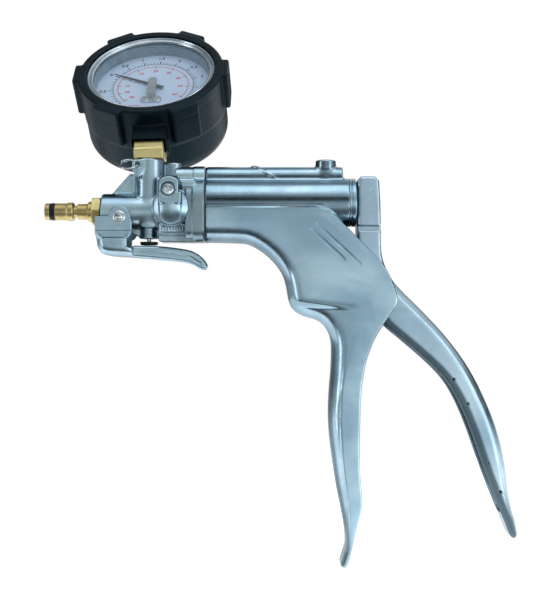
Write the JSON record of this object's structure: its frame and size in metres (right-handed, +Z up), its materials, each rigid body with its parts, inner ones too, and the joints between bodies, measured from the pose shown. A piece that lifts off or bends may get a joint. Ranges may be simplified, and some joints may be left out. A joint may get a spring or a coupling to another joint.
{
  "type": "hand vacuum pump",
  "caption": "Pistol-form hand vacuum pump: cast barrel and grip, hinged rear handle, booted dial gauge on an elbow, brass hose connector and a small release lever under the nose.",
  "frame": {"origin": "centre of the hose connector's nose, on its axis", "axes": "+X from the nose to the rear handle, +Z up along the grip, -Y the side of the valve cover screw"},
  "size_m": [0.2273, 0.0913, 0.271],
  "materials": {
    "cast_zinc": "tumbled and polished die casting",
    "brass": "turned brass",
    "steel": "satin",
    "bright_steel": "polished",
    "rubber_black": "matt moulded",
    "seal_rubber": "smooth",
    "clear_window": "clear",
    "dial_white": "printed scale",
    "pointer_black": "matt",
    "bronze": "sintered",
    "spring_steel": "drawn wire",
    "gasket": "pressed fibre"
  },
  "bodies": {
    "pump": {"pump_body": "cast_zinc", "front_head": "cast_zinc", "head_gasket": "gasket", "head_screws": "steel", "valve_cover": "cast_zinc", "valve_cover_gasket": "gasket", "valve_cover_screw": "steel", "inlet_check_valve": "seal_rubber", "exhaust_check_valve": "seal_rubber", "hose_connector": "brass", "connector_o_ring": "seal_rubber", "barrel_end_cap": "cast_zinc", "rod_bushing": "bronze", "rod_seal": "seal_rubber", "passage_plug": "brass", "exhaust_filter": "bronze", "handle_pivot_pin": "steel", "lever_rivets": "steel", "gauge_stem": "brass", "gauge_case": "steel", "gauge_boot": "rubber_black", "gauge_bezel": "bright_steel", "gauge_window": "clear_window", "window_gasket": "seal_rubber", "gauge_dial": "dial_white", "movement_frame": "steel", "movement_bracket": "steel", "dial_screws": "steel", "bourdon_tube": "bronze"},
    "handle": {"actuating_handle": "cast_zinc"},
    "piston_group": {"piston_rod": "steel", "piston": "steel", "piston_seal": "seal_rubber", "piston_screw": "steel", "rod_cross_pin": "steel", "return_spring": "spring_steel"},
    "release_lever": {"release_lever": "cast_zinc"},
    "release_valve": {"release_plunger": "steel", "release_pad": "seal_rubber", "release_spring": "spring_steel"},
    "sector": {"sector_gear": "steel"},
    "pointer": {"gauge_pointer": "pointer_black", "pointer_arbor": "steel"},
    "wire_ring": {"wire_ring": "spring_steel"}
  },
  "joints": [
    {"name": "handle_pivot", "type": "hinge", "parent": "pump", "child": "handle", "pos_m": [0.155, 0, -0.0346], "axis": [0, 1, 0], "range_deg": [0, 30]},
    {"name": "rod_slide", "type": "slide", "parent": "pump", "child": "piston_group", "axis": [1, 0, 0], "range_m": [0, 0.0225], "stiffness_N_per_m": 900, "springref_m": -0.018, "deforming": ["return_spring"]},
    {"name": "release_lever_pivot", "type": "hinge", "parent": "pump", "child": "release_lever", "pos_m": [0.037, 0, -0.0033], "axis": [0, -1, 0], "range_deg": [0, 4]},
    {"name": "release_valve_slide", "type": "slide", "parent": "pump", "child": "release_valve", "axis": [0, 0, 1], "range_m": [0, 0.001], "stiffness_N_per_m": 3, "springref_m": -0.003, "deforming": ["release_spring"]},
    {"name": "sector_swing", "type": "hinge", "parent": "pump", "child": "sector", "pos_m": [0.0487, 0.04375, 0.07075], "axis": [-0.0454, -0.7072, 0.7055], "range_deg": [-14, 38], "stiffness_Nm_per_rad": 0.0005},
    {"name": "pointer_spin", "type": "hinge", "parent": "pump", "child": "pointer", "pos_m": [0.0487, 0.03485, 0.06183], "axis": [-0.0454, -0.7072, 0.7055], "range_deg": [-191, 71]},
    {"name": "ring_swing", "type": "hinge", "parent": "pump", "child": "wire_ring", "pos_m": [0.0454, -0.007, 0.022], "axis": [0, 1, 0], "range_deg": [-24, 0]}
  ],
  "couplings": [
    {"joint": "rod_slide", "follows": "handle_pivot", "m_per_rad": 0.0422},
    {"joint": "release_valve_slide", "follows": "release_lever_pivot", "m_per_rad": 0.014},
    {"joint": "pointer_spin", "follows": "sector_swing", "ratio": -5}
  ]
}
